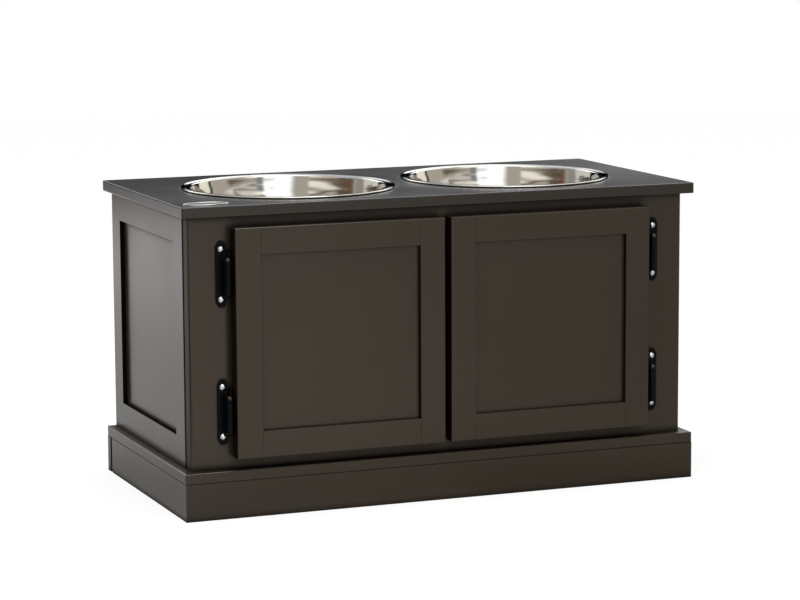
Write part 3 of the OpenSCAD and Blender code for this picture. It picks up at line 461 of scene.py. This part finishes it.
# ---------------------------------------------------------------- Hinges
# Pressed steel leaves rolled round a ball-tipped pin, dipped in black enamel paint. The dip leaves
# a thin, slightly lumpy skin that shines blue-black, more on the pins than on the leaves.


def black_enamel(name, roughness, shine):
    """Black dip enamel: lumps of 1.2 mm, with the gloss drifting over 8 mm."""
    material, tree, shader = new_material(name)
    coordinates = node(tree, "TexCoord").outputs["Object"]
    cloud = node(tree, "TexNoise", {
        "Vector": coordinates, "Scale": 1000 / 8, "Detail": 3}).outputs["Fac"]
    colour = node(tree, "Mix", {
        "Factor": cloud, "A": linear("#040607"), "B": linear("#090c0e")}, data_type="RGBA")
    gloss = node(tree, "MapRange", {"Value": cloud, "To Min": roughness[0], "To Max": roughness[1]})
    links = (("Base Color", colour.outputs["Result"]), ("Roughness", gloss.outputs["Result"]),
             ("Normal", relief(tree, [(1.2, 0.012, 2)], coordinates)))
    for socket, value in links:
        tree.links.new(value, shader.inputs[socket])
    shader.inputs["Specular IOR Level"].default_value = shine
    return material


leaf_enamel = black_enamel("black_enamel_on_leaves", (0.25, 0.42), 0.09)
pin_enamel = black_enamel("black_enamel_on_pins", (0.1, 0.2), 0.6)
wear(*[f"{side}_hinge_{part}_leaves" for side in ("left", "right") for part in ("frame", "door")],
     material=leaf_enamel)
wear("left_hinge_pins", "right_hinge_pins", material=pin_enamel)

# ---------------------------------------------------------------- Magnetic catches
# A brown moulded ABS housing holds a grey ferrite magnet under the top rail; a zinc-plated strike
# plate, stamped from rolled sheet, meets it on the back of each door.
housing, tree, shader = new_material("moulded_brown_abs")
coordinates = node(tree, "TexCoord").outputs["Object"]
flow = node(tree, "TexNoise", {"Vector": coordinates, "Scale": 1000 / 15, "Detail": 2}).outputs["Fac"]
colour = node(tree, "Mix", {
    "Factor": flow, "A": linear("#3b2618"), "B": linear("#4a3120")}, data_type="RGBA")
tree.links.new(colour.outputs["Result"], shader.inputs["Base Color"])
tree.links.new(relief(tree, [(0.6, 0.02, 2)], coordinates), shader.inputs["Normal"])
shader.inputs["Roughness"].default_value = 0.42
shader.inputs["IOR"].default_value = 1.54
wear("catch_housings", material=housing)

ferrite, tree, shader = new_material("pressed_ferrite")
coordinates = node(tree, "TexCoord").outputs["Object"]
grit = node(tree, "TexVoronoi", {"Vector": coordinates, "Scale": 1000 / 0.7}).outputs["Distance"]
colour = node(tree, "Mix", {
    "Factor": grit, "A": linear("#242527"), "B": linear("#3c3d40")}, data_type="RGBA")
tree.links.new(colour.outputs["Result"], shader.inputs["Base Color"])
tree.links.new(relief(tree, [(0.7, 0.03, 3)], coordinates), shader.inputs["Normal"])
shader.inputs["Roughness"].default_value = 0.62
wear("catch_magnets", material=ferrite)

strike, tree, shader = new_material("rolled_zinc_plated_sheet")
coordinates = node(tree, "TexCoord").outputs["Object"]
drawn = node(tree, "Mapping", {"Vector": coordinates, "Scale": (0.03, 1.0, 1.0)}).outputs["Vector"]
streaks = node(tree, "TexNoise", {"Vector": drawn, "Scale": 1000 / 0.6, "Detail": 3}).outputs["Fac"]
colour = node(tree, "Mix", {
    "Factor": streaks, "A": linear("#c4c8cb"), "B": linear("#9da2a6")}, data_type="RGBA")
gloss = node(tree, "MapRange", {"Value": streaks, "To Min": 0.25, "To Max": 0.45})
tree.links.new(colour.outputs["Result"], shader.inputs["Base Color"])
tree.links.new(gloss.outputs["Result"], shader.inputs["Roughness"])
shader.inputs["Metallic"].default_value = 1.0
wear("left_strike_plate", "right_strike_plate", material=strike)

# ---------------------------------------------------------------- Bowls
# Deep-drawn stainless steel bowls, spun and mirror polished, with the rim rolled into a small
# bead. Each hangs by its bead in a cut-out and lifts straight out.
rim_r, bead_r, wall_r, depth, sheet = 0.119, 0.001, 0.1095, 0.062, 0.001
board_top, rim_gap = 0.336, 0.0003
lean_degrees, fillet_r, corner_r, belly = 14, 0.0008, 0.018, 0.0004
lean = np.radians(lean_degrees)
corner_steps, wall_steps, fillet_steps = 24, 22, 14


def bend(x, z, r, start, end, steps):
    """Points (x, z) on a circle's arc from one angle to another, in degrees."""
    a = np.radians(np.linspace(start, end, steps))
    return np.stack([x + r * np.cos(a), z + r * np.sin(a)], 1)


def bowl_face(inset, bottom_steps):
    """One face of the sheet from near its middle out to the bead. The bottom rises by 0.4 mm to its
    middle as a parabola. Then come the lower corner's arc, the leaning wall, which bellies out by
    0.4 mm as a parabola too, and the upper fillet's arc."""
    flange = rim_gap + bead_r - sheet / 2
    top_x, top_z = wall_r + fillet_r, flange - fillet_r
    wall_x, wall_z = top_x - fillet_r * np.cos(lean), top_z + fillet_r * np.sin(lean)
    corner_z = -depth + corner_r
    low_z = corner_z - corner_r * np.sin(lean)
    corner_x = wall_x - (wall_z - low_z) * np.tan(lean) - corner_r * np.cos(lean)
    x = np.linspace(corner_x / bottom_steps, corner_x, bottom_steps, endpoint=False)
    crown = belly * (1 - (x / corner_x) ** 2)
    flat = np.stack([x, -depth + inset + crown], 1)
    corner = bend(corner_x, corner_z, corner_r - inset, -90, -lean_degrees, corner_steps)
    fillet = bend(top_x, top_z, fillet_r + inset, 180 - lean_degrees, 90, fillet_steps)
    share = np.linspace(0, 1, wall_steps + 2)[1:-1, None]
    bulge = belly * 4 * share * (1 - share) * np.array([np.cos(lean), -np.sin(lean)])
    wall = corner[-1] + share * (fillet[0] - corner[-1]) + bulge
    return np.concatenate([flat, corner, wall, fillet])


def stacked_rings(name, rows, heights, centre):
    """Smooth closed object from rings that follow each other, given as an array (ring, step, xyz).
    Point j of ring i joins point j + 1 and ring i + 1 in a quad. A pole on the axis closes each end
    with triangles, at that end's height."""
    count, steps = rows.shape[:2]
    poles = [[0, 0, heights[0]], [0, 0, heights[1]]]
    points = np.concatenate([rows.reshape(-1, 3), poles]) + centre
    i, j = np.meshgrid(np.arange(count - 1), np.arange(steps), indexing="ij")
    k = (j + 1) % steps
    quads = np.stack([i * steps + j, i * steps + k, (i + 1) * steps + k, (i + 1) * steps + j], -1)
    ring = np.arange(steps)
    after = (ring + 1) % steps
    end = (count - 1) * steps
    first = np.stack([0 * ring + count * steps, after, ring], 1)
    last = np.stack([0 * ring + count * steps + 1, ring + end, after + end], 1)
    mesh = bpy.data.meshes.new(name)
    faces = quads.reshape(-1, 4).tolist() + first.tolist() + last.tolist()
    mesh.from_pydata(points.tolist(), [], faces)
    mesh.polygons.foreach_set("use_smooth", np.ones(len(mesh.polygons), bool))
    made = bpy.data.objects.new(name, mesh)
    bpy.context.collection.objects.link(made)
    return made


def spun(name, profile, centre, steps):
    """Surface of revolution: point (r cos a, r sin a, z) for each profile point (r, z) and each angle
    a. Its UV map is (turn, length along the profile in metres)."""
    a = np.linspace(0, 2 * np.pi, steps, endpoint=False)
    r, z = profile[:, :1], profile[:, 1:]
    rows = np.stack([r * np.cos(a), r * np.sin(a), z + 0 * a], -1)
    made = stacked_rings(name, rows, (profile[0, 1], profile[-1, 1]), centre)
    along = np.concatenate([[0], np.cumsum(np.linalg.norm(np.diff(profile, axis=0), axis=1))])
    i, j = np.meshgrid(np.arange(len(profile) - 1), np.arange(steps), indexing="ij")
    u, u_next = j / steps, (j + 1) / steps
    quad_uv = np.stack([np.stack([u, u_next, u_next, u], -1),
                        np.stack([along[i], along[i], along[i + 1], along[i + 1]], -1)], -1)
    ring = np.arange(steps)
    turn_here, turn_next, start = ring / steps, (ring + 1) / steps, 0 * ring
    end = start + along[-1]
    first_uv = np.stack([turn_here, start, turn_next, start, turn_here, start], 1)
    last_uv = np.stack([turn_here, end, turn_here, end, turn_next, end], 1)
    corners = np.concatenate([part.reshape(-1, 2) for part in (quad_uv, first_uv, last_uv)])
    uv = made.data.uv_layers.new(name="turn_and_length")
    uv.data.foreach_set("uv", corners.astype(np.float32).ravel())
    return made


bottom_steps, bead_open, bead_steps = 10, 148, 26
outer, inner = bowl_face(0, bottom_steps), bowl_face(sheet, bottom_steps)
bead = bend(rim_r - bead_r, rim_gap + bead_r, bead_r, -bead_open, bead_open, bead_steps)
bowl_profile = np.concatenate([outer, bead, inner[::-1]])
lengths = np.concatenate([[0], np.cumsum(np.linalg.norm(np.diff(bowl_profile, axis=0), axis=1))])
wall_first = len(outer) + len(bead) + fillet_steps
wall_start, wall_end = lengths[[wall_first, wall_first + wall_steps]]

# Spinning marks lie about 1.5 mm apart and are up to 4 microns deep. A slow ripple on the wall is
# drawn as deep as it took to break up the reflections as in the photograph. Both are drawn on
# (turn, length), so they follow the bowl round.
steel, tree, shader = new_material("spun_and_polished_stainless_steel")
uv = node(tree, "UVMap", uv_map="turn_and_length").outputs["UV"]
ringed = node(tree, "Mapping", {"Vector": uv, "Scale": (3.0, 1000 / 1.5, 1.0)}).outputs["Vector"]
rings = node(tree, "TexNoise", {"Vector": ringed, "Scale": 1.0, "Detail": 3}).outputs["Fac"]
rippled = node(tree, "Mapping", {"Vector": uv, "Scale": (6.0, 1000 / 22, 1.0)}).outputs["Vector"]
ripple = node(tree, "TexNoise", {"Vector": rippled, "Scale": 1.0, "Detail": 1}).outputs["Fac"]
pressed = window(tree, node(tree, "SeparateXYZ", {"Vector": uv}).outputs["Y"],
                 wall_start + 0.004, wall_end - 0.002, 0.003)
coarse = node(tree, "Bump", {"Height": ripple, "Distance": 0.0028, "Strength": pressed})
fine = node(tree, "Bump", {
    "Height": rings, "Distance": 0.000004, "Strength": 1.0, "Normal": coarse.outputs["Normal"]})
tone = node(tree, "Mix", {
    "Factor": rings, "A": linear("#c8c5bf"), "B": linear("#c1beb8")}, data_type="RGBA")
gloss = node(tree, "MapRange", {"Value": rings, "To Min": 0.05, "To Max": 0.1})
for socket, value in (("Base Color", tone.outputs["Result"]), ("Roughness", gloss.outputs["Result"]),
                      ("Normal", fine.outputs["Normal"])):
    tree.links.new(value, shader.inputs[socket])
shader.inputs["Metallic"].default_value = 1.0

bowl_x, bowl_y, bowl_steps = 0.131, -0.0041, 192
for side, x in (("left", -bowl_x), ("right", bowl_x)):
    bowl = spun(f"{side}_steel_bowl", bowl_profile, np.array([x, bowl_y, board_top]), bowl_steps)
    bowl.data.materials.append(steel)
    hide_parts(f"{side}_bowl")
    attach(bowl, f"{side}_bowl")

# ---------------------------------------------------------------- Badge
# A blank oval plate stamped from nickel-plated sheet, glued to the board's front left corner. Its
# border is raised and rounded, and the field inside is slightly domed and brushed lengthwise.
badge_half = np.array([0.025, 0.0125])
badge_centre = np.array([-0.266, -0.1246, board_top])
border_r, border_z, border_steps = 0.0006, 0.0004, 14
field_start, field_end, field_steps = 0.0016, 0.0122, 14
field_z, dome_rise, badge_steps = 0.00065, 0.0002, 96


def oval_plate(name, profile, half, centre, steps):
    """Oval of nested rings: a profile point (inset from the edge, height) gives the ring
    ((half length - inset) cos a, (half width - inset) sin a, height)."""
    a = np.linspace(0, 2 * np.pi, steps, endpoint=False)
    inset, z = profile[:, :1], profile[:, 1:]
    rows = np.stack([(half[0] - inset) * np.cos(a), (half[1] - inset) * np.sin(a), z + 0 * a], -1)
    return stacked_rings(name, rows, (profile[0, 1], profile[-1, 1]), centre)


# The underside is flat, the border is a half round, and the field rises to its middle as a
# parabola.
underside = [[0.0115, 0.0], [0.0003, 0.0]]
border = bend(border_r, border_z, border_r, 180, 0, border_steps)
border_foot = [[0.0012, 0.00062]]
field_inset = np.linspace(field_start, field_end, field_steps)
from_middle = (badge_half[1] - field_inset) / (badge_half[1] - field_start)
field = np.stack([field_inset, field_z + dome_rise * (1 - from_middle ** 2)], 1)
badge_profile = np.concatenate([underside, border, border_foot, field])
badge = oval_plate("blank_oval_badge", badge_profile, badge_half, badge_centre, badge_steps)

nickel, tree, shader = new_material("brushed_nickel_plate")
coordinates = node(tree, "TexCoord").outputs["Object"]
drawn = node(tree, "Mapping", {"Vector": coordinates, "Scale": (0.04, 1.0, 1.0)}).outputs["Vector"]
brushing = node(tree, "TexNoise", {"Vector": drawn, "Scale": 1000 / 0.4, "Detail": 3}).outputs["Fac"]
tone = node(tree, "Mix", {
    "Factor": brushing, "A": linear("#d2d0cb"), "B": linear("#a9a7a2")}, data_type="RGBA")
gloss = node(tree, "MapRange", {"Value": brushing, "To Min": 0.16, "To Max": 0.32})
tree.links.new(tone.outputs["Result"], shader.inputs["Base Color"])
tree.links.new(gloss.outputs["Result"], shader.inputs["Roughness"])
shader.inputs["Metallic"].default_value = 1.0
badge.data.materials.append(nickel)
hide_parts("badge")
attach(badge, "cabinet")
